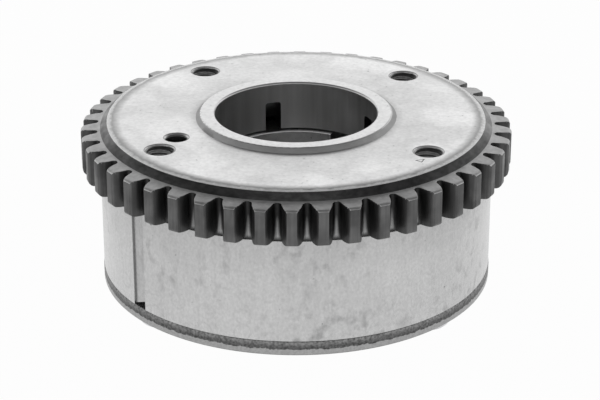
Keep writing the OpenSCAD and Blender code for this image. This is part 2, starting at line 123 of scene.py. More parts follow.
class PhaserSizes(bpy.types.PropertyGroup):
    """Sizes of the fine features."""
    face_drop: length("Face drop", "From the hub ring's top down to the light face", 1.0)
    hub_r: length("Hub radius", "Radius of the hub ring at its top", 20.9)
    roll_r: length("Roll radius", "Radius at which the light face starts to roll down", 39.1)
    tooth_drop: length("Tooth drop", "From the light face down to the tooth tops", 1.6)
    tooth_depth: length("Tooth depth", "From tooth root to tooth tip", 3.6)
    tooth_len: length("Tooth length", "Length of the teeth along the axis", 8.2)
    tip_round: length("Tip rounding", "Rounding of the upper end of a tooth tip", 0.8)
    tooth_round: length("Tooth corner", "Rounding of the corners beside a tooth tip", 0.25)
    edge_round: length("Edge", "Rounding of the other edges", 0.1)
    bolt_circle: length("Bolt circle", "Radius of the circle that the bolts stand on", 34.4)
    thread_r: length("Thread radius", "Full radius of the tapped thread", 3.0)
    thread_h: length("Thread depth", "Depth of the tapped thread", 0.42)
    thread_pitch: length("Thread pitch", "Pitch of the tapped thread", 1.0)
    thread_fit: length("Thread fit", "Room between the thread and the hole that holds it", 0.01)
    sink_lip: length("Countersink lip", "Depth at which the countersink meets the thread's full radius", 0.2)
    dowel_mouth: length("Dowel mouth", "Radius of the mouth of the dowel's hole", 2.65)
    mark_line: length("Mark line", "Width of the timing mark's line", 0.22)
    mark_rise: length("Mark rise", "How far the line's burr stands over the face", 0.02)
    wire_r: length("Spring wire", "Wire radius of the lock pin's spring", 0.3)
    spring_turns: IntProperty(name="Spring turns", description="Turns of that spring", default=9)


class PhaserColours(bpy.types.PropertyGroup):
    """Colours of the finishes."""
    face_pale: colour("Face, pale", "Ground face where it is cleanest", "#E4E4E4")
    face_grey: colour("Face, grey", "Ground face where oil has dried", "#D2D2D2")
    face_wiped: colour("Face, wiped", "Patches of the ground face that were wiped clean", "#F6F6F6")
    # Grey of the edge ring: duller where the grinding missed, and partly painted shade where the face rolls
    # down.
    face_edge_dull_and_shade: colour(
        "Face, edge", "Ring that the grinding missed, where the face starts to roll down", "#989898")
    # Near white of the lip: a painted highlight along the rolled edge.
    face_lip_highlight: colour("Face, lip", "Rubbed lip outside that ring", "#FCFCFC")
    turned: colour("Turned steel", "Narrow turned edges and hole mouths", "#C0C0C0")
    flank: colour("Hub flank", "Turned flank of the hub ring", "#B6B6B6")
    cone: colour("Cone", "Cone between face and teeth", "#888888")
    tooth_top: colour("Tooth tops", "Tooth ends facing the face side", "#BCBCBC")
    tooth_dark: colour("Teeth", "Tooth flanks and tips, darkened by hardening", "#6A6A6A")
    bore: colour("Bore", "Bore wall", "#D0D0D0")
    cavity: colour("Cavities", "Oil-wet slots and holes", "#707070")
    thread: colour("Threads", "Tapped threads", "#A8A8A8")
    drum_pale: colour("Housing, pale", "Outside of the housing", "#CACACA")
    drum_stain: colour("Housing, stain", "Dried oil on the housing", "#A4A4A4")
    cover_tear: colour("Cover, torn", "Upper part of the sheared edge, and the upper side", "#949494")
    cover_burnish: colour("Cover, burnished", "Lower part of the sheared edge, and the underside", "#A4A4A4")
    bolt: colour("Bolts", "Zinc-plated bolts", "#DADADC")
    rotor: colour("Rotor", "Machined rotor", "#CCCCCC")
    hardened: colour("Hardened steel", "Pin, bush, dowel and plug", "#B4B4B4")
    spring: colour("Spring steel", "Coil and leaf springs", "#BEBEC0")
    seal: colour("Seal", "Polymer seal strips", "#262626")
    floor: colour("Floor", "Pale studio floor", "#F2F2F2")


class PhaserStage(bpy.types.PropertyGroup):
    """Camera and light."""
    lens: FloatProperty(name="Lens", description="Focal length in millimetres", default=125.166)
    distance: length("Distance", "Camera distance in front of the axis", 421.3044)
    height: length("Height", "Camera height over the floor", 206.3621)
    tilt: FloatProperty(
        name="Tilt", description="Camera tilt below the horizon", subtype="ANGLE", default=23.9341 * DEGREE)
    turn: FloatProperty(
        name="Turn", description="Camera turn to the right", subtype="ANGLE", default=0.1115 * DEGREE)
    roll: FloatProperty(
        name="Roll", description="Camera roll", subtype="ANGLE", default=0.0692 * DEGREE)
    floor_r: length("Floor radius", "Radius of the floor disc", 3000)
    glow: FloatProperty(
        name="Floor glow", description="Share of the floor's look that is plain white", default=0.97)


def add(tree, kind, settings=None, links=None):
    """Adds a node, sets its own settings, and feeds its inputs with sockets or plain values."""
    node = tree.nodes.new(kind)
    for key, value in (settings or {}).items():
        setattr(node, key, value)
    for key, value in (links or {}).items():
        if isinstance(value, bpy.types.NodeSocket):
            tree.links.new(value, node.inputs[key])
        else:
            node.inputs[key].default_value = value
    return node


def rgba(values):
    """A colour with its alpha."""
    return (*values, 1)


def dim(values, share):
    """A darker shade of a colour."""
    return tuple(channel * share for channel in values)


def empty_tree(owner):
    """The cleared node tree of a material or a world."""
    owner.use_nodes = True
    owner.node_tree.nodes.clear()
    return owner.node_tree


def face_height(sizes):
    """Height of the light face."""
    return HUB_Z - sizes.face_drop


def new_material(name, roughness, metallic=1.0):
    """A material with one shader, and the Object coordinates that its patterns read."""
    material = bpy.data.materials.new(name)
    tree = empty_tree(material)
    shader = add(tree, "ShaderNodeBsdfPrincipled", None, {"Roughness": roughness, "Metallic": metallic})
    add(tree, "ShaderNodeOutputMaterial", None, {"Surface": shader.outputs[0]})
    place = add(tree, "ShaderNodeTexCoord").outputs["Object"]
    return material, tree, shader, place


def spots(tree, place, size_mm, low, high, most=1.0, stretch=(1, 1, 1), detail=2.0):
    """Mask from 0 to most, of soft spots about size_mm across. A stretch below 1 draws them out along its
    axis. Real grain is finer than a pixel of the render, so it is drawn 0.2 to 0.5 mm across to show."""
    scaled = add(tree, "ShaderNodeMapping", None, {"Vector": place, "Scale": stretch})
    noise = add(tree, "ShaderNodeTexNoise", None, {
        "Vector": scaled.outputs[0], "Scale": 0.5 / (size_mm * MM), "Detail": detail})
    return add(tree, "ShaderNodeMapRange", None, {
        "Value": noise.outputs[0], "From Min": low, "From Max": high, "To Max": most}).outputs[0]


def axis_distance(tree, place):
    """Distance from the turning axis, and height along it."""
    level = add(tree, "ShaderNodeVectorMath", {"operation": "MULTIPLY"}, {0: place, 1: (1, 1, 0)})
    radius = add(tree, "ShaderNodeVectorMath", {"operation": "LENGTH"}, {0: level.outputs[0]})
    height = add(tree, "ShaderNodeSeparateXYZ", None, {"Vector": place})
    return radius.outputs["Value"], height.outputs[2]


def finish(tree, shader, base, coats, relief, depth_mm, shine=None, roughness=(0.0, 0.0)):
    """Lays tinted coats over a base colour where their masks say, then adds relief and a changing shine."""
    top = rgba(base)
    for share, tint in coats:
        top = add(tree, "ShaderNodeMix", {"data_type": "RGBA"}, {0: share, 6: top, 7: rgba(tint)}).outputs[2]
    tree.links.new(top, shader.inputs["Base Color"])
    bump = add(tree, "ShaderNodeBump", None, {"Height": relief, "Strength": 1.0, "Distance": depth_mm * MM})
    tree.links.new(bump.outputs[0], shader.inputs["Normal"])
    if shine is not None:
        rough = add(tree, "ShaderNodeMapRange", None, {
            "Value": shine, "To Min": roughness[0], "To Max": roughness[1]})
        tree.links.new(rough.outputs[0], shader.inputs["Roughness"])


def ground_face_steel(scene):
    """Sintered steel ground flat: pale, with a fine broken grain and patches wiped clean. It is greyer
    towards the hub's foot, with painted shade in the corner at the hub's foot. Where the edge rolls down it
    has a dull ring that the grinding missed, its grey partly painted shade of the roll-down, and outside it a
    rough rubbed lip whose near white is a painted highlight. A thin dark burr runs round every hole. The
    hub's top is cleanest."""
    colours = scene.phaser_colours
    sizes = scene.phaser_sizes
    material, tree, shader, place = new_material("ground_face_steel", 0.3)
    clouds = spots(tree, place, 3.5, 0.35, 0.65, detail=4)
    wiped = spots(tree, place, 7, 0.5, 0.62, most=0.7, detail=4)
    grain = spots(tree, place, 0.4, 0.3, 0.7, most=0.16, detail=3)
    pores = spots(tree, place, 0.4, 0.72, 0.78, most=0.5)
    ragged = spots(tree, place, 0.9, 0.25, 0.75, detail=4)
    radius, height = axis_distance(tree, place)
    raised = add(tree, "ShaderNodeMapRange", None, {
        "Value": height, "From Min": HUB_Z - 0.6 * MM, "From Max": HUB_Z - 0.4 * MM, "To Max": 0.9})
    reach = add(tree, "ShaderNodeMath", {"operation": "MULTIPLY_ADD"}, {0: ragged, 1: 0.5 * MM, 2: radius})
    # Each ring grows from its first radius to its second, up to a share of its tint.
    rings = [
        (sizes.roll_r, sizes.hub_r, 0.12, BLACK),
        # Painted shade in the corner at the hub's foot.
        (sizes.hub_r + 2.6 * MM, sizes.hub_r + 0.8 * MM, 0.3, BLACK),
        # Edge ring: duller where the grinding missed, its grey partly painted shade where the face rolls
        # down.
        (sizes.roll_r - 0.8 * MM, sizes.roll_r + 0.9 * MM, 1.0, colours.face_edge_dull_and_shade),
        # Lip: painted highlight along the rolled edge.
        (sizes.roll_r + 1.1 * MM, sizes.roll_r + 1.6 * MM, 1.0, colours.face_lip_highlight),
    ]
    coats = [(clouds, colours.face_grey), (wiped, colours.face_wiped)]
    for start, end, most, tint in rings:
        ring = add(tree, "ShaderNodeMapRange", None, {
            "Value": reach.outputs[0], "From Min": start, "From Max": end, "To Max": most})
        coats.append((ring.outputs[0], tint))
    lip = ring.outputs[0]
    mouths = [(angle, sizes.bolt_circle, sizes.thread_r + sizes.sink_lip) for angle in bolt_places()]
    mouths.append((math.atan2(DOWEL.y, DOWEL.x), math.hypot(DOWEL.x, DOWEL.y), sizes.dowel_mouth))
    for angle, circle_r, mouth_r in mouths:
        middle = (circle_r * math.cos(angle), circle_r * math.sin(angle), face_height(sizes))
        gap = add(tree, "ShaderNodeVectorMath", {"operation": "DISTANCE"}, {0: place, 1: middle})
        burr = add(tree, "ShaderNodeMapRange", None, {
            "Value": gap.outputs["Value"], "From Min": mouth_r + 0.2 * MM, "From Max": mouth_r + 0.14 * MM,
            "To Max": 0.6})
        coats.append((burr.outputs[0], BLACK))
    coats += [(raised.outputs[0], colours.face_pale), (grain, BLACK), (pores, BLACK)]
    finish(tree, shader, colours.face_pale, coats, grain, 0.004, lip, (0.3, 0.6))
    return material


def turned_steel(scene):
    """Steel as the lathe leaves it: smooth, with faint rings, and painted shade deep in a hole."""
    colours = scene.phaser_colours
    sink_z = face_height(scene.phaser_sizes) - scene.phaser_sizes.sink_lip
    material, tree, shader, place = new_material("turned_steel", 0.3)
    rings = spots(tree, place, 0.4, 0.3, 0.7, stretch=(0.3, 0.3, 1))
    height = add(tree, "ShaderNodeSeparateXYZ", None, {"Vector": place}).outputs[2]
    # Painted shade below the countersink's lip, deep in the hole.
    oil = add(tree, "ShaderNodeMapRange", None, {
        "Value": height, "From Min": sink_z - 0.05 * MM, "From Max": sink_z - 0.15 * MM, "To Max": 0.8})
    finish(tree, shader, colours.turned,
           [(rings, dim(colours.turned, 0.85)), (oil.outputs[0], BLACK)], rings, 0.002)
    return material


def turned_flank_steel(scene):
    """Hub flank as turned, never ground: duller than the face, with fine rings."""
    colours = scene.phaser_colours
    material, tree, shader, place = new_material("turned_flank_steel", 0.6)
    rings = spots(tree, place, 0.5, 0.3, 0.7, stretch=(0.3, 0.3, 1), detail=3)
    finish(tree, shader, colours.flank, [(rings, dim(colours.flank, 0.85))], rings, 0.003)
    return material


def sintered_cone_steel(scene):
    """Sintered steel left as pressed: a little rubbed, with a grain drawn out level, patches that shine
    more, and four darker arcs between the axes."""
    colours = scene.phaser_colours
    material, tree, shader, place = new_material("sintered_cone_steel", 0.34)
    patches = spots(tree, place, 2.5, 0.35, 0.65, detail=3)
    grain = spots(tree, place, 0.35, 0.35, 0.65, most=0.4, stretch=(0.4, 0.4, 1), detail=3)
    sides = add(tree, "ShaderNodeVectorMath", {"operation": "ABSOLUTE"}, {0: place})
    sides = add(tree, "ShaderNodeSeparateXYZ", None, {"Vector": sides.outputs[0]})
    # Darker in four arcs between the x and y axes, and not along them.
    across, along = [add(tree, "ShaderNodeMapRange", None, {
        "Value": sides.outputs[axis], "From Min": 4 * MM, "From Max": 14 * MM}).outputs[0] for axis in (0, 1)]
    arcs = add(tree, "ShaderNodeMath", {"operation": "MULTIPLY"}, {0: across, 1: along})
    film = add(tree, "ShaderNodeMath", {"operation": "MULTIPLY"}, {0: arcs.outputs[0], 1: 0.55})
    finish(tree, shader, colours.cone,
           [(patches, dim(colours.cone, 0.7)), (film.outputs[0], BLACK), (grain, BLACK)], grain, 0.004,
           patches, (0.3, 0.42))
    return material


def rubbed_tooth_steel(scene):
    """Ends of the teeth, brushed clean after hardening: light grey, with a soft grain."""
    colours = scene.phaser_colours
    material, tree, shader, place = new_material("rubbed_tooth_steel", 0.4)
    patches = spots(tree, place, 1.2, 0.35, 0.65, detail=3)
    grain = spots(tree, place, 0.4, 0.3, 0.7, most=0.15)
    finish(tree, shader, colours.tooth_top,
           [(patches, dim(colours.tooth_top, 0.8)), (grain, BLACK)], grain, 0.004)
    return material


def hardened_tooth_steel(scene):
    """Hardened tooth sides: darkened by heat and drawn along the axis by the press tool. Painted shade
    darkens the flanks more than the tips and the roots high up, and a painted highlight lies low in the
    roots."""
    colours = scene.phaser_colours
    sizes = scene.phaser_sizes
    root_r = TIP_R - sizes.tooth_depth
    tooth_z = face_height(sizes) - sizes.tooth_drop
    low_z = tooth_z - sizes.tooth_len
    material, tree, shader, place = new_material("hardened_tooth_steel", 0.42)
    streaks = spots(tree, place, 0.3, 0.3, 0.7, most=0.25, stretch=(1, 1, 0.06))
    patches = spots(tree, place, 2.5, 0.35, 0.65, detail=3)
    radius, height = axis_distance(tree, place)
    deep = add(tree, "ShaderNodeMapRange", None, {
        "Value": radius, "From Min": root_r + 0.9 * MM, "From Max": root_r + 0.3 * MM})
    high = add(tree, "ShaderNodeMapRange", None, {
        "Value": height, "From Min": low_z, "From Max": tooth_z - sizes.tooth_len / 3, "To Max": 0.5})
    # Painted shade on the flanks, where the neighbouring teeth shade them; the tips stay lighter.
    flank = add(tree, "ShaderNodeMapRange", None, {
        "Value": radius, "From Min": TIP_R - 0.2 * MM, "From Max": TIP_R - 0.5 * MM, "To Max": 0.35})
    # Painted shade high up in the roots, deep in the gaps between the teeth.
    oil = add(tree, "ShaderNodeMath", {"operation": "MULTIPLY"}, {0: deep.outputs[0], 1: high.outputs[0]})
    # Painted highlight low in the roots, narrowing as it rises and fading just above the teeth's lower ends.
    slope = 0.07
    narrow = add(tree, "ShaderNodeMath", {"operation": "MULTIPLY_ADD"}, {0: height, 1: slope, 2: radius})
    floor_r = root_r + slope * low_z
    bright = add(tree, "ShaderNodeMapRange", None, {
        "Value": narrow.outputs[0], "From Min": floor_r + 0.4 * MM, "From Max": floor_r + 0.05 * MM,
        "To Max": 0.7})
    above = add(tree, "ShaderNodeMapRange", None, {
        "Value": height, "From Min": low_z + 0.1 * MM, "From Max": low_z + 0.8 * MM})
    root_highlight = add(tree, "ShaderNodeMath", {"operation": "MULTIPLY"}, {0: bright.outputs[0], 1: above.outputs[0]})
    finish(tree, shader, colours.tooth_dark,
           [(patches, dim(colours.tooth_dark, 0.7)), (streaks, BLACK), (flank.outputs[0], BLACK),
            (oil.outputs[0], BLACK), (root_highlight.outputs[0], colours.tooth_top)],
           streaks, 0.005, patches, (0.38, 0.5))
    return material


def honed_bore_steel(scene):
    """Bore wall, turned and honed, with faint bands along the axis."""
    colours = scene.phaser_colours
    material, tree, shader, place = new_material("honed_bore_steel", 0.3)
    bands = spots(tree, place, 1.2, 0.3, 0.7, stretch=(1, 1, 0.05))
    finish(tree, shader, colours.bore, [(bands, dim(colours.bore, 0.8))], bands, 0.002)
    return material


def oiled_cavity_steel(scene):
    """Walls of slots and holes, wet with dark oil."""
    colours = scene.phaser_colours
    material, tree, shader, place = new_material("oiled_cavity_steel", 0.4)
    film = spots(tree, place, 1.5, 0.3, 0.7)
    finish(tree, shader, colours.cavity, [(film, dim(colours.cavity, 0.5))], film, 0.004)
    return material


def tapped_thread_steel(scene):
    """Cut thread, with soft darker spots, and painted shade in a band over the broken first turn."""
    colours = scene.phaser_colours
    sink_z = face_height(scene.phaser_sizes) - scene.phaser_sizes.sink_lip
    material, tree, shader, place = new_material("tapped_thread_steel", 0.36)
    tears = spots(tree, place, 0.5, 0.3, 0.7, detail=3)
    height = add(tree, "ShaderNodeSeparateXYZ", None, {"Vector": place}).outputs[2]
    # Painted shade in a band just below the countersink.
    oil = add(tree, "ShaderNodeMath", {"operation": "COMPARE"}, {
        0: height, 1: sink_z - 0.45 * MM, 2: 0.25 * MM})
    finish(tree, shader, colours.thread,
           [(tears, dim(colours.thread, 0.6)), (oil.outputs[0], dim(colours.thread, 0.1))], tears, 0.004)
    return material


def sized_housing_steel(scene):
    """Housing pressed through a sizing die: pale and matte, with a fine grain, clusters of soft oil stains
    and dried rings low down. It has painted shade under the teeth and in the groove, most at the groove's
    inner corner."""
    colours = scene.phaser_colours
    drum_r = HOUSING_HIGH.x
    material, tree, shader, place = new_material("sized_housing_steel", 0.26)
    grain = spots(tree, place, 0.25, 0.3, 0.7, most=0.16, stretch=(1, 1, 0.7), detail=3)
    streaks = spots(tree, place, 0.5, 0.4, 0.75, most=0.06, stretch=(1, 1, 0.08))
    blots = spots(tree, place, 1.1, 0.52, 0.7, most=0.3, stretch=(1, 1, 0.7), detail=3)
    cluster = spots(tree, place, 7, 0.4, 0.62)
    blotches = add(tree, "ShaderNodeMath", {"operation": "MULTIPLY"}, {0: blots, 1: cluster}).outputs[0]
    clouds = spots(tree, place, 9, 0.4, 0.65, most=0.6, detail=3)
    specks = spots(tree, place, 0.5, 0.75, 0.79, most=0.6)
    drops = add(tree, "ShaderNodeTexVoronoi", None, {"Vector": place, "Scale": 0.2 / MM})
    wobble = spots(tree, place, 2, 0.2, 0.8, most=0.3, detail=3)
    rim = add(tree, "ShaderNodeMath", {"operation": "SUBTRACT"}, {0: drops.outputs["Distance"], 1: wobble})
    ring = add(tree, "ShaderNodeMath", {"operation": "COMPARE"}, {0: rim.outputs[0], 1: 0.2, 2: 0.04})
    radius, height = axis_distance(tree, place)
    # Painted shade under the overhanging teeth, darkest at the top.
    shade_under_teeth = add(tree, "ShaderNodeMapRange", None, {
        "Value": height, "From Min": HOUSING_HIGH.z - 9 * MM, "From Max": HOUSING_HIGH.z, "To Max": 0.14})
    # Painted shade in the groove.
    groove_shade = add(tree, "ShaderNodeMapRange", None, {
        "Value": radius, "From Min": drum_r - 0.1 * MM, "From Max": drum_r - 0.3 * MM, "To Max": 0.18})
    # More painted shade at the groove's inner corner.
    corner = add(tree, "ShaderNodeMath", {"operation": "COMPARE"}, {
        0: radius, 1: drum_r - 0.38 * MM, 2: 0.08 * MM})
    film = add(tree, "ShaderNodeMath", {"operation": "MULTIPLY"}, {0: corner.outputs[0], 1: 0.5})
    low_down = add(tree, "ShaderNodeMapRange", None, {
        "Value": height, "From Min": HOUSING_LOW.z, "From Max": HOUSING_HIGH.z, "To Min": 0.2, "To Max": 0.0})
    stain = add(tree, "ShaderNodeMath", {"operation": "MULTIPLY"}, {
        0: ring.outputs[0], 1: low_down.outputs[0]})
    dark = (grain, streaks, blotches, shade_under_teeth.outputs[0], groove_shade.outputs[0], film.outputs[0], specks)
    coats = [(clouds, dim(colours.drum_pale, 0.9)), (stain.outputs[0], colours.drum_stain)]
    coats += [(mask, BLACK) for mask in dark]
    finish(tree, shader, colours.drum_pale, coats, grain, 0.002)
    return material


def sheared_cover_steel(scene):
    """Stamped sheet: the sheared edge is torn rough and dark above and burnished pale below, with a line of
    dirt at its lower corner. The flats are smoother."""
    colours = scene.phaser_colours
    material, tree, shader, place = new_material("sheared_cover_steel", 0.4)
    radius, height = axis_distance(tree, place)
    ragged = spots(tree, place, 0.5, 0.2, 0.8, detail=5)
    line = add(tree, "ShaderNodeMath", {"operation": "MULTIPLY_ADD"}, {0: ragged, 1: 0.6 * MM, 2: height})
    tear_z = COVER_LOW.z + 1.8 * MM
    shade = add(tree, "ShaderNodeMapRange", None, {
        "Value": line.outputs[0], "From Min": tear_z + 1.4 * MM, "From Max": tear_z + 0.4 * MM,
        "To Max": 0.5})
    burnished = add(tree, "ShaderNodeMapRange", None, {
        "Value": line.outputs[0], "From Min": tear_z, "From Max": tear_z - 0.12 * MM})
    edge = add(tree, "ShaderNodeMapRange", None, {
        "Value": radius, "From Min": COVER_HIGH.x - 1.2 * MM, "From Max": COVER_HIGH.x - 0.6 * MM,
        "To Min": 0.3})
    calm = add(tree, "ShaderNodeMapRange", None, {
        "Value": burnished.outputs[0], "To Min": 1.0, "To Max": 0.3})
    rough = add(tree, "ShaderNodeMath", {"operation": "MULTIPLY"}, {0: edge.outputs[0], 1: calm.outputs[0]})
    corner = add(tree, "ShaderNodeMath", {"operation": "COMPARE"}, {
        0: height, 1: COVER_LOW.z + 0.2 * MM, 2: 0.14 * MM})
    dirt = add(tree, "ShaderNodeMath", {"operation": "MULTIPLY"}, {0: corner.outputs[0], 1: 0.4})
    grain = spots(tree, place, 0.25, 0.35, 0.65, most=0.6, detail=3)
    pits = add(tree, "ShaderNodeMath", {"operation": "MULTIPLY"}, {0: grain, 1: rough.outputs[0]}).outputs[0]
    finish(tree, shader, colours.cover_tear,
           [(shade.outputs[0], BLACK), (burnished.outputs[0], colours.cover_burnish),
            (dirt.outputs[0], BLACK), (pits, BLACK)], pits, 0.01, burnished.outputs[0], (0.46, 0.36))
    return material


def plated_bolt_steel(scene):
    """Bolts with a thin zinc plate: pale, a little cloudy."""
    colours = scene.phaser_colours
    material, tree, shader, place = new_material("plated_bolt_steel", 0.36)
    clouds = spots(tree, place, 1.5, 0.3, 0.7, detail=3)
    finish(tree, shader, colours.bolt, [(clouds, dim(colours.bolt, 0.8))], clouds, 0.003)
    return material


def machined_rotor_steel(scene):
    """Sintered rotor with machined faces: a fine grain and scattered pores."""
    colours = scene.phaser_colours
    material, tree, shader, place = new_material("machined_rotor_steel", 0.36)
    grain = spots(tree, place, 0.5, 0.3, 0.7, detail=3)
    pores = spots(tree, place, 0.4, 0.68, 0.74, most=0.6)
    finish(tree, shader, colours.rotor, [(grain, dim(colours.rotor, 0.85)), (pores, BLACK)], grain, 0.003)
    return material


def ground_hard_steel(scene):
    """Hardened and ground steel: bright, with a close even grain round the pin."""
    colours = scene.phaser_colours
    material, tree, shader, place = new_material("ground_hard_steel", 0.24)
    grain = spots(tree, place, 0.3, 0.3, 0.7, stretch=(0.3, 0.3, 1))
    finish(tree, shader, colours.hardened, [(grain, dim(colours.hardened, 0.85))], grain, 0.001)
    return material


def drawn_spring_steel(scene):
    """Drawn spring wire and rolled leaf: bright, with a faint grain."""
    colours = scene.phaser_colours
    material, tree, shader, place = new_material("drawn_spring_steel", 0.22)
    grain = spots(tree, place, 0.2, 0.3, 0.7)
    finish(tree, shader, colours.spring, [(grain, dim(colours.spring, 0.85))], grain, 0.001)
    return material


def moulded_seal_polymer(scene):
    """Moulded polymer strip: near black, matte, with a fine mould grain."""
    colours = scene.phaser_colours
    material, tree, shader, place = new_material("moulded_seal_polymer", 0.55, metallic=0.0)
    grain = spots(tree, place, 0.2, 0.3, 0.7)
    finish(tree, shader, colours.seal, [(grain, dim(colours.seal, 0.7))], grain, 0.004)
    return material


def place_piece(mesh, body, materials):
    """Puts a mesh into the scene as a piece of the same name that rides on a body."""
    for material in materials:
        mesh.materials.append(material)
    piece = bpy.data.objects.new(mesh.name, mesh)
    bpy.context.scene.collection.objects.link(piece)
    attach(piece, body)
    return piece


def merged_copy(node, name):
    """Copy of a node's mesh with its triangles joined into one skin and its flat regions made whole."""
    mesh = bpy.data.meshes.new(name)
    skin = bmesh.new()
    skin.from_mesh(frame["nodes"][node].data)
    bmesh.ops.remove_doubles(skin, verts=skin.verts, dist=MERGE)
    bmesh.ops.dissolve_limit(skin, angle_limit=FLAT_ANGLE, verts=skin.verts, edges=skin.edges)
    skin.to_mesh(mesh)
    skin.free()
    return mesh


def sharp_edges(mesh, angle):
    """Which edges turn by more than an angle, as an array."""
    sharp = np.empty(len(mesh.edges), bool)
    mesh.set_sharp_from_angle(angle=angle)
    mesh.attributes["sharp_edge"].data.foreach_get("value", sharp)
    mesh.attributes.remove(mesh.attributes["sharp_edge"])
    return sharp


def mark_edges(mesh, tooth_r=math.inf, tip_r=math.inf, share=1.0, crisp_z=-math.inf, crisp_r=math.inf):
    """Weights the sharp edges for rounding. Upright corners outside tooth_r count in full and the others
    by a share. Facets of the teeth's own curves, upright or level at the tips, don't count. Edges below
    crisp_z and inside crisp_r stay sharp."""
    ends = np.empty(len(mesh.edges) * 2, np.int32)
    points = np.empty(len(mesh.vertices) * 3, np.float32)
    mesh.edges.foreach_get("vertices", ends)
    mesh.vertices.foreach_get("co", points)
    corners = points.reshape(-1, 3)[ends.reshape(-1, 2)]
    reach = np.hypot(corners[..., 0], corners[..., 1]).min(1)
    step = np.abs(corners[:, 1] - corners[:, 0])
    upright = (reach > tooth_r) & (step[:, :2].max(1) < MERGE)
    level = (reach > tip_r) & (step[:, 2] < MERGE)
    weights = np.where(upright, sharp_edges(mesh, TOOTH_ANGLE), share * sharp_edges(mesh, EDGE_ANGLE))
    crisp = (corners[..., 2].max(1) < crisp_z) & (reach < crisp_r) & (weights > 0)
    weights[level | crisp] = 0
    mesh.shade_smooth()
    rounded = mesh.attributes.new("bevel_weight_edge", "FLOAT", "EDGE")
    rounded.data.foreach_set("value", weights.astype(np.float32))
    kept_sharp = mesh.attributes.new("sharp_edge", "BOOLEAN", "EDGE")
    kept_sharp.data.foreach_set("value", crisp)


def round_edges(piece, width):
    """Rounds the weighted edges of a piece and keeps its broad faces flat."""
    bevel = piece.modifiers.new("rounded_edges", "BEVEL")
    bevel.width = width
    bevel.segments = EDGE_STEPS
    bevel.limit_method = "WEIGHT"
    bevel.use_clamp_overlap = False
    piece.modifiers.new("flat_faces", "WEIGHTED_NORMAL").keep_sharp = True


def face_values(mesh):
    """Radius, height and upward lean of every face, as arrays."""
    count = len(mesh.polygons)
    centre = np.empty(count * 3, np.float32)
    normal = np.empty(count * 3, np.float32)
    mesh.polygons.foreach_get("center", centre)
    mesh.polygons.foreach_get("normal", normal)
    centre = centre.reshape(-1, 3)
    return np.hypot(centre[:, 0], centre[:, 1]), centre[:, 2], normal.reshape(-1, 3)[:, 2]


def grid_faces(rows, columns, wrap_rows):
    """Quads of a grid of points, row by row. Every row closes on itself, and so do the columns if wrapped."""
    row = np.arange(rows if wrap_rows else rows - 1)
    row, column = np.meshgrid(row, np.arange(columns), indexing="ij")
    next_row = (row + 1) % rows
    next_column = (column + 1) % columns
    corners = [row * columns + column, row * columns + next_column,
               next_row * columns + next_column, next_row * columns + column]
    return np.stack(corners, -1).reshape(-1, 4)


def mesh_from_grids(name, grids, wrap_rows):
    """One mesh of several point grids of the same kind, each an array of rows, columns and xyz."""
    points = []
    faces = []
    start = 0
    for grid in grids:
        rows, columns = grid.shape[:2]
        points.append(grid.reshape(-1, 3))
        faces.append(grid_faces(rows, columns, wrap_rows) + start)
        start += rows * columns
    mesh = bpy.data.meshes.new(name)
    mesh.from_pydata(np.concatenate(points), [], np.concatenate(faces).tolist())
    skin = bmesh.new()
    skin.from_mesh(mesh)
    bmesh.ops.remove_doubles(skin, verts=skin.verts, dist=MERGE)
    bmesh.ops.recalc_face_normals(skin, faces=skin.faces)
    skin.to_mesh(mesh)
    skin.free()
    mesh.shade_smooth()
    return mesh


def bolt_places():
    """Angle of each bolt, from the middles of the four bolt solids' top faces, as radians round +Z."""
    node = frame["nodes"]["cover_bolts"].data
    points = np.empty(len(node.vertices) * 3, np.float32)
    node.vertices.foreach_get("co", points)
    points = points.reshape(-1, 3)
    ends = points[points[:, 2] > BOLT_TOP - 10 * MERGE]
    angles = np.arctan2(ends[:, 1], ends[:, 0])
    quadrants = [angles[(np.sign(ends[:, 0]) == x) & (np.sign(ends[:, 1]) == y)]
                 for x in (-1, 1) for y in (-1, 1)]
    return [float((quarter.min() + quarter.max()) / 2) for quarter in quadrants]


class PHASER_OT_sprocket(bpy.types.Operator):
    """Dress the sprocket: ground face, dark teeth, cone, bore"""
    bl_idname = "phaser.sprocket"
    bl_label = "Sprocket"

    def execute(self, context):
        scene = context.scene
        sizes = scene.phaser_sizes
        mesh = merged_copy("sprocket", "sprocket_dressed")
        zones = self.zones(mesh, sizes)
        mesh.polygons.foreach_set("material_index", zones)
        mark_edges(
            mesh, tooth_r=TIP_R - sizes.tooth_depth - MERGE, tip_r=TIP_R - sizes.tip_round,
            share=sizes.edge_round / sizes.tooth_round, crisp_z=HUB_Z - 3 * MM, crisp_r=TIP_R / 2)
        # In the order of the zones, with the finish of all other faces last.
        finishes = [ground_face_steel, rubbed_tooth_steel, turned_flank_steel, sintered_cone_steel,
                    hardened_tooth_steel, honed_bore_steel, oiled_cavity_steel, turned_steel]
        mesh.polygons.foreach_set("use_smooth", zones != finishes.index(honed_bore_steel))
        piece = place_piece(mesh, "drum", [make(scene) for make in finishes])
        round_edges(piece, sizes.tooth_round)
        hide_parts("sprocket")
        return {"FINISHED"}

    def zones(self, mesh, sizes):
        """Material of every face, by its radius, its height and how far it leans upwards."""
        face_z = face_height(sizes)
        tooth_z = face_z - sizes.tooth_drop
        rim_r = TIP_R - sizes.tooth_depth - 0.6 * MM
        radius, height, lean = face_values(mesh)
        up = lean > 0.9
        wall = np.abs(lean) < 0.3
        on_rim = radius > rim_r
        face = up & (height > face_z - 0.3 * MM)
        tooth_end = on_rim & (lean > 0.5) & (height < tooth_z + MERGE)
        flank = (lean > 0.3) & ~up & (abs(radius - sizes.hub_r - 0.5 * MM) < 0.5 * MM) & (height > face_z)
        cone = (lean > 0.3) & ~up & (radius > sizes.roll_r) & (height > tooth_z)
        bore = wall & (radius < BORE_R + 0.1 * MM)
        cavity = (wall & ~on_rim) | (height < tooth_z)
        zones = [face, tooth_end, flank, cone, on_rim, bore, cavity]
        return np.select(zones, range(len(zones)), len(zones)).astype(np.int32)


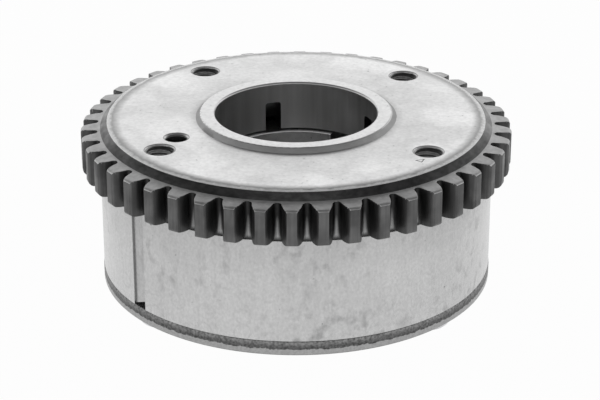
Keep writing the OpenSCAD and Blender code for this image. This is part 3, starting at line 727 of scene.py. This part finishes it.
class PHASER_OT_housing(bpy.types.Operator):
    """Dress the housing, front cover, bolts and rotor with rounded edges"""
    bl_idname = "phaser.housing"
    bl_label = "Housing, cover, bolts and rotor"

    def execute(self, context):
        scene = context.scene
        finishes = {
            "housing": ("drum", "housing_steel", sized_housing_steel),
            "front_cover": ("drum", "cover_steel", sheared_cover_steel),
            "cover_bolts": ("drum", "bolt_steel", plated_bolt_steel),
            "vane_rotor": ("rotor", "rotor_steel", machined_rotor_steel),
        }
        for node, (body, slot, make) in finishes.items():
            mesh = merged_copy(node, node + "_dressed")
            # The housing's lowest edges lie on the cover and stay sharp.
            mark_edges(mesh, crisp_z=HOUSING_LOW.z + MERGE if node == "housing" else -math.inf)
            piece = place_piece(mesh, body, [make(scene)])
            round_edges(piece, scene.phaser_sizes.edge_round)
            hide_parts(node)
        return {"FINISHED"}


class PHASER_OT_threads(bpy.types.Operator):
    """Cut the thread in the four tapped holes"""
    bl_idname = "phaser.threads"
    bl_label = "Tapped threads"

    def execute(self, context):
        sizes = context.scene.phaser_sizes
        grids = [self.thread(sizes, angle) for angle in bolt_places()]
        mesh = mesh_from_grids("tapped_threads", grids, True)
        place_piece(mesh, "drum", [tapped_thread_steel(context.scene)])
        return {"FINISHED"}

    def thread(self, sizes, angle):
        """Inside of a tapped hole: its radius is a triangle wave of height less turn, cut flat at its crests
        and roots, or the countersink's radius where that is wider. A plain tube closes it outside."""
        rows_per_turn = 12
        columns = 72
        crest_top = 1.25
        crest_slope = 2.6
        low_z = BOLT_TOP + BOLT_ROOM
        high_z = face_height(sizes) - sizes.sink_lip
        wall_r = sizes.thread_r - sizes.thread_fit
        root_r = wall_r - sizes.thread_fit
        rows = int((high_z - low_z) / sizes.thread_pitch * rows_per_turn)
        turn = np.linspace(0, 2 * np.pi, columns, endpoint=False)[None, :]
        height = np.linspace(high_z, low_z, rows)[:, None] + 0 * turn
        wave = (height / sizes.thread_pitch - turn / (2 * np.pi)) % 1
        crest = np.clip(crest_top - crest_slope * np.abs(wave - 0.5), 0, 1)
        sink = sizes.thread_r - (high_z - height)
        radius = np.minimum(np.maximum(root_r - sizes.thread_h * crest, sink), root_r)
        outside = np.full((2, columns), wall_r)
        radius = np.vstack([radius, outside])
        height = np.vstack([height, height[-1:], height[:1]])
        return np.stack([sizes.bolt_circle * np.cos(angle) + radius * np.cos(turn),
                         sizes.bolt_circle * np.sin(angle) + radius * np.sin(turn), height], -1)


class PHASER_OT_timing_mark(bpy.types.Operator):
    """Scribe the small triangle that marks the timing position"""
    bl_idname = "phaser.timing_mark"
    bl_label = "Timing mark"

    def execute(self, context):
        mesh = mesh_from_grids("timing_mark", [self.line(context.scene.phaser_sizes)], True)
        place_piece(mesh, "drum", [bpy.data.materials["oiled_cavity_steel"]])
        return {"FINISHED"}

    def line(self, sizes):
        """Line round the mark with a diamond section: each row is the triangle at an inset and a rise."""
        rows = []
        for inset, rise in ((0, 0), (0.5, 1), (1, 0), (0.5, -1)):
            height = np.full(len(MARK_CORNERS), face_height(sizes) + rise * sizes.mark_rise)
            rows.append(np.column_stack([self.triangle(inset * sizes.mark_line), height]))
        return np.stack(rows)

    def triangle(self, inset):
        """Corners of the mark drawn in by an inset: they move towards the middle of the inscribed circle."""
        sides = np.linalg.norm(np.roll(MARK_CORNERS, -1, 0) - np.roll(MARK_CORNERS, 1, 0), axis=1)
        middle = (sides[:, None] * MARK_CORNERS).sum(0) / sides.sum()
        edge = MARK_CORNERS[1] - MARK_CORNERS[0]
        offset = middle - MARK_CORNERS[0]
        inner_r = abs(edge[0] * offset[1] - edge[1] * offset[0]) / np.linalg.norm(edge)
        return middle + (1 - inset / inner_r) * (MARK_CORNERS - middle)


class PHASER_OT_pin_spring(bpy.types.Operator):
    """Wind the lock pin's coil spring from round wire"""
    bl_idname = "phaser.pin_spring"
    bl_label = "Lock pin spring"

    def execute(self, context):
        middle = (SPRING_LOW + SPRING_HIGH) / 2
        grid = self.coil(context.scene.phaser_sizes, middle)
        mesh = mesh_from_grids("lock_pin_coil", [grid], False)
        piece = place_piece(mesh, "rotor", [drawn_spring_steel(context.scene)])
        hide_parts("lock_pin_spring")
        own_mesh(piece)
        return {"FINISHED"}

    def coil(self, sizes, middle):
        """Round wire along a helix, closed at its ends. Its reach is the coil's radius plus the wire's radius
        times the cosine round the wire. x and y are that reach times the cosine and sine of the turn, and z
        is the rise so far plus the wire's radius times the sine round the wire."""
        coil_r = (SPRING_HIGH.x - SPRING_LOW.x) / 2 - sizes.wire_r
        low = SPRING_LOW.z + sizes.wire_r
        rise = SPRING_HIGH.z - SPRING_LOW.z - 2 * sizes.wire_r
        along = np.linspace(0, 1, sizes.spring_turns * STEPS_PER_TURN + 1)[:, None]
        around = np.linspace(0, 2 * np.pi, WIRE_SIDES, endpoint=False)[None, :]
        turn = 2 * np.pi * sizes.spring_turns * along
        reach = coil_r + sizes.wire_r * np.cos(around)
        grid = np.stack([middle.x + reach * np.cos(turn), middle.y + reach * np.sin(turn),
                         low + rise * along + sizes.wire_r * np.sin(around)], -1)
        first, last = [np.repeat(grid[[end]].mean(1)[:, None], WIRE_SIDES, 1) for end in (0, -1)]
        return np.concatenate([first, grid, last])


class PHASER_OT_inner_pieces(bpy.types.Operator):
    """Give the seals, springs, pin, bush, dowel and plug their finishes"""
    bl_idname = "phaser.inner_pieces"
    bl_label = "Inner pieces"

    def execute(self, context):
        hard = ground_hard_steel(context.scene)
        seal = moulded_seal_polymer(context.scene)
        spring = bpy.data.materials["drawn_spring_steel"]
        for name, node in frame["nodes"].items():
            if name in ("lock_bush", "locating_dowel", "lock_pin", "lock_pin_retainer"):
                node.material_slots[0].material = hard
            elif "_seal_spring_" in name:
                node.material_slots[0].material = spring
            elif "_seal_" in name:
                node.material_slots[0].material = seal
        return {"FINISHED"}


class PHASER_OT_stage(bpy.types.Operator):
    """Set the floor, the soft light and the camera"""
    bl_idname = "phaser.stage"
    bl_label = "Stage"

    def execute(self, context):
        scene = context.scene
        stage = scene.phaser_stage
        scene.view_settings.view_transform = "Standard"
        self.floor(scene, stage)
        self.sky(scene)
        self.camera(scene, stage)
        return {"FINISHED"}

    def floor(self, scene, stage):
        """A disc: radius times cosine and sine of the turn."""
        turn = np.linspace(0, 2 * np.pi, FLOOR_SIDES, endpoint=False)[None, :]
        radius = np.array(FLOOR_RINGS)[:, None] * stage.floor_r
        grid = np.stack([radius * np.cos(turn), radius * np.sin(turn), 0 * radius * turn], -1)
        mesh = mesh_from_grids("floor", [grid], False)
        material = bpy.data.materials.new("matte_studio_floor")
        tree = empty_tree(material)
        shown = self.shown(tree)
        share = add(tree, "ShaderNodeMath", {"operation": "MULTIPLY"}, {0: shown, 1: stage.glow})
        matte = add(tree, "ShaderNodeBsdfDiffuse", None, {"Color": rgba(scene.phaser_colours.floor)})
        glow = add(tree, "ShaderNodeEmission", None, {"Strength": 1.0})
        both = add(tree, "ShaderNodeMixShader", None, {
            0: share.outputs[0], 1: matte.outputs[0], 2: glow.outputs[0]})
        add(tree, "ShaderNodeOutputMaterial", None, {"Surface": both.outputs[0]})
        mesh.materials.append(material)
        floor = bpy.data.objects.new("floor", mesh)
        scene.collection.objects.link(floor)

    def shown(self, tree):
        """1 for rays that show the floor, straight, mirrored or through glass, and 0 for the others."""
        path = add(tree, "ShaderNodeLightPath")
        seen = add(tree, "ShaderNodeMath", {"operation": "MAXIMUM"}, {
            0: path.outputs["Is Camera Ray"], 1: path.outputs["Is Glossy Ray"]})
        return add(tree, "ShaderNodeMath", {"operation": "MAXIMUM"}, {
            0: seen.outputs[0], 1: path.outputs["Is Transmission Ray"]}).outputs[0]

    def sky(self, scene):
        """Light tent: dim at the horizon, with bright walls above it and a dark ceiling."""
        world = bpy.data.worlds.new("light_tent")
        scene.world = world
        tree = empty_tree(world)
        direction = add(tree, "ShaderNodeTexCoord").outputs["Generated"]
        height = add(tree, "ShaderNodeSeparateXYZ", None, {"Vector": direction}).outputs[2]
        ramp = add(tree, "ShaderNodeValToRGB", None, {"Fac": height})
        # A new ramp has two stops.
        for _ in TENT_LEVELS[2:]:
            ramp.color_ramp.elements.new(0.5)
        for stop, (position, level) in zip(ramp.color_ramp.elements, TENT_LEVELS):
            stop.position = position
            stop.color = rgba((level, level, level))
        tent = add(tree, "ShaderNodeBackground", None, {"Color": ramp.outputs[0], "Strength": TENT_STRENGTH})
        add(tree, "ShaderNodeOutputWorld", None, {"Surface": tent.outputs[0]})

    def camera(self, scene, stage):
        """Long lens in front of the part, looking a little down on it."""
        data = bpy.data.cameras.new("camera")
        data.sensor_width = SENSOR_MM
        data.lens = stage.lens
        data.clip_start = 10 * MM
        camera = bpy.data.objects.new("camera", data)
        scene.collection.objects.link(camera)
        camera.matrix_world = (
            Matrix.Translation((0, -stage.distance, stage.height))
            @ Matrix.Rotation(-stage.turn, 4, "Z")
            @ Matrix.Rotation(math.pi / 2 - stage.tilt, 4, "X")
            @ Matrix.Rotation(-stage.roll, 4, "Z"))
        scene.camera = camera


OPERATORS = (PHASER_OT_stage, PHASER_OT_sprocket, PHASER_OT_housing, PHASER_OT_threads,
             PHASER_OT_timing_mark, PHASER_OT_pin_spring, PHASER_OT_inner_pieces)


class PHASER_PT_panel(bpy.types.Panel):
    """Lists the steps of the dressing"""
    bl_idname = "PHASER_PT_panel"
    bl_label = "Cam phaser"
    bl_space_type = "VIEW_3D"
    bl_region_type = "UI"
    bl_category = "Phaser"

    def draw(self, context):
        for operator in OPERATORS:
            self.layout.operator(operator.bl_idname)


GROUPS = {"phaser_sizes": PhaserSizes, "phaser_colours": PhaserColours, "phaser_stage": PhaserStage}


def register():
    """Adds the classes and the scene's settings."""
    for cls in (*GROUPS.values(), *OPERATORS, PHASER_PT_panel):
        bpy.utils.register_class(cls)
    for name, group in GROUPS.items():
        setattr(bpy.types.Scene, name, PointerProperty(type=group))


def unregister():
    """Takes them away again."""
    for name in GROUPS:
        delattr(bpy.types.Scene, name)
    for cls in reversed((*GROUPS.values(), *OPERATORS, PHASER_PT_panel)):
        bpy.utils.unregister_class(cls)


def main():
    """Runs every step in order."""
    register()
    for operator in OPERATORS:
        group, step = operator.bl_idname.split(".")
        getattr(getattr(bpy.ops, group), step)()


if __name__ == "__main__":
    main()
